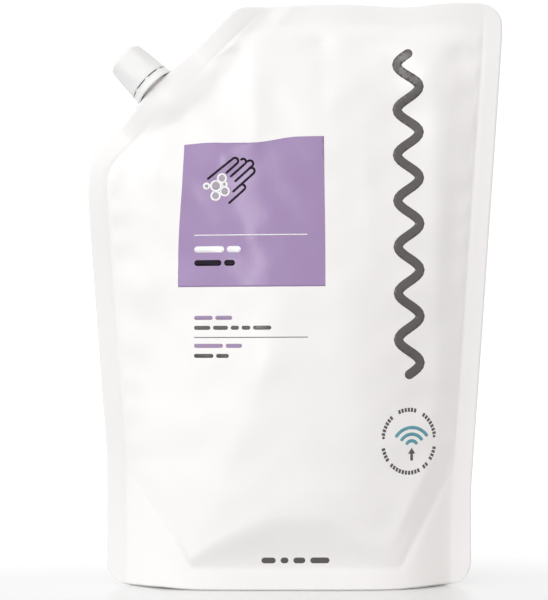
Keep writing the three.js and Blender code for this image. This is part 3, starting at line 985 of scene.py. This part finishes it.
def main():
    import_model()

    film = surface("laminated_film", FILM_TONE, FILM_GLOSS, FILM_GRAIN, 0.02)
    moulded = surface("moulded_polyethylene", MOULDED_TONE, MOULDED_GLOSS, MOULDED_GRAIN, 0.02, 0.15)
    foam = surface("liner_foam", FOAM_TONE, FOAM_GLOSS, FOAM_GRAIN, 0.05)
    ink = inks()

    pouch = film_pouch(film)
    printed = [laid_print(name, shapes, proud, ink[tone]) for name, shapes, proud, tone in prints()]
    for piece in [pouch] + printed:
        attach(piece, "pack_body")
    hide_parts("pouch")

    cap = cap_shell(moulded)
    ring = tamper_ring(moulded)
    closure = (
        (cap, "cap_body", "cap_plastic"),
        (helix_thread("cap_thread", *CAP_THREAD, moulded), "cap_body", "cap_plastic"),
        (ring, "pack_body", "cap_plastic"),
        (tamper_bridges(moulded), "pack_body", "cap_plastic"),
        (helix_thread("neck_thread", *NECK_THREAD, moulded), "pack_body", "spout_plastic"),
    )
    for piece, body, slot in closure:
        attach(piece, body)
    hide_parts("cap")
    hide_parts("tamper_band")
    for name, material in (("spout", moulded), ("cap_liner", foam)):
        bpy.data.objects[name].data.materials.clear()
        bpy.data.objects[name].data.materials.append(material)

    stage()


# ---- Stage ----

SKY_LEVEL = 0.55
SKY_GLOWS = (  # direction the light comes from, its colour and its strength there
    ((-1, 0, 0), (0.96, 1, 1.02), 0.76),
    ((1, 0, 0), (1, 0.82, 0.75), 0.15),
    ((0, -1, 0), (1, 0.98, 0.98), 0.62),
)
KEY_PLACE, KEY_SIZE, KEY_POWER = (-0.62, -0.5, 0.55), (0.5, 0.5), 0.72
SHEEN_PLACE, SHEEN_SIZE, SHEEN_POWER = (-0.22, -0.95, 0.6), (0.17, 0.3), 1.05
# Distance along +Y, and the value there.
TABLE_GLOW = ((-0.25, 0.06), (-0.06, 0.06), (0.03, 0.08), (0.3, 0.4))
TABLE_TONE = ((-0.25, 0.30), (-0.06, 0.71), (0.03, 0.71), (0.3, 0.6))
WALL_GLOW = ((0, 1.05), (1, 1.05))
WALL_TONE = ((0, 0), (1, 0))
STAGE_ROUGHNESS = 0.25
AIM = (0, 0, 0.13)  # the lamps point here
CAMERA_PLACE = (-0.0096, -1.2, 0.1276)
SENSOR = 24
SEEN_HEIGHT = 0.2686  # height of the view at the middle of the pack


def area_light(name, place, size, power):
    light = bpy.data.lights.new(name, "AREA")
    light.shape = "RECTANGLE"
    light.size, light.size_y = size
    light.energy = power
    lamp = bpy.data.objects.new(name, light)
    lamp.location = place
    lamp.rotation_euler = (Vector(AIM) - Vector(place)).to_track_quat("-Z", "Y").to_euler()
    bpy.context.scene.collection.objects.link(lamp)


def sky():
    """An even glow all round, with more light from the left and the front than from the right and behind."""
    world = bpy.data.worlds.new("studio")
    bpy.context.scene.world = world
    world.use_nodes = True
    nodes, links = world.node_tree.nodes, world.node_tree.links
    background = nodes["Background"]
    background.inputs["Strength"].default_value = 1
    place = nodes.new("ShaderNodeTexCoord")
    total = nodes.new("ShaderNodeCombineXYZ")
    for axis in total.inputs:
        axis.default_value = SKY_LEVEL
    total = total.outputs[0]
    for direction, colour, strength in SKY_GLOWS:
        facing = nodes.new("ShaderNodeVectorMath")
        facing.operation = "DOT_PRODUCT"
        facing.inputs[1].default_value = direction
        share = nodes.new("ShaderNodeMath")
        share.operation = "MAXIMUM"
        glow = nodes.new("ShaderNodeVectorMath")
        glow.operation = "SCALE"
        glow.inputs[0].default_value = [c * strength for c in colour]
        both = nodes.new("ShaderNodeVectorMath")
        links.new(place.outputs["Generated"], facing.inputs[0])
        links.new(facing.outputs["Value"], share.inputs[0])
        share.inputs[1].default_value = 0
        links.new(share.outputs[0], glow.inputs["Scale"])
        links.new(glow.outputs[0], both.inputs[0])
        links.new(total, both.inputs[1])
        total = both.outputs[0]
    links.new(total, background.inputs["Color"])


def by_distance(nodes, links, stops):
    """A value that changes along +Y between the given (distance, value) stops."""
    place = nodes.new("ShaderNodeTexCoord")
    split = nodes.new("ShaderNodeSeparateXYZ")
    links.new(place.outputs["Object"], split.inputs[0])
    previous = None
    for (y0, v0), (y1, v1) in zip(stops, stops[1:]):
        step = nodes.new("ShaderNodeMapRange")
        step.inputs["From Min"].default_value = y0
        step.inputs["From Max"].default_value = y1
        step.inputs["To Min"].default_value = 0 if previous else v0
        step.inputs["To Max"].default_value = v1 - v0 if previous else v1
        links.new(split.outputs["Y"], step.inputs["Value"])
        if previous:
            both = nodes.new("ShaderNodeMath")
            links.new(previous, both.inputs[0])
            links.new(step.outputs["Result"], both.inputs[1])
            previous = both.outputs[0]
        else:
            previous = step.outputs["Result"]
    return previous


def stage_flat(name, corners, tone, glow):
    material = bpy.data.materials.new(name + "_white")
    material.use_nodes = True
    nodes, links = material.node_tree.nodes, material.node_tree.links
    shader = nodes["Principled BSDF"]
    shader.inputs["Roughness"].default_value = STAGE_ROUGHNESS
    shader.inputs["Emission Color"].default_value = (1, 1, 1, 1)
    links.new(by_distance(nodes, links, tone), shader.inputs["Base Color"])
    links.new(by_distance(nodes, links, glow), shader.inputs["Emission Strength"])
    mesh = bpy.data.meshes.new(name)
    mesh.from_pydata(corners, [], [(0, 1, 2, 3)])
    mesh.materials.append(material)
    flat = bpy.data.objects.new(name, mesh)
    bpy.context.scene.collection.objects.link(flat)


def stage():
    scene = bpy.context.scene
    scene.view_settings.view_transform = "Standard"
    sky()
    stage_flat("table", [(-3, -3, 0), (3, -3, 0), (3, 2, 0), (-3, 2, 0)], TABLE_TONE, TABLE_GLOW)
    stage_flat("wall", [(-3, 2, 0), (3, 2, 0), (3, 2, 2), (-3, 2, 2)], WALL_TONE, WALL_GLOW)
    area_light("key", KEY_PLACE, KEY_SIZE, KEY_POWER)
    area_light("sheen", SHEEN_PLACE, SHEEN_SIZE, SHEEN_POWER)

    camera = bpy.data.cameras.new("camera")
    camera.sensor_fit = "VERTICAL"
    camera.sensor_height = SENSOR
    camera.lens = SENSOR * -CAMERA_PLACE[1] / SEEN_HEIGHT
    camera.clip_start = 0.01
    holder = bpy.data.objects.new("camera", camera)
    holder.location = CAMERA_PLACE
    holder.rotation_euler = (math.pi / 2, 0, 0)
    scene.collection.objects.link(holder)
    scene.camera = holder


main()
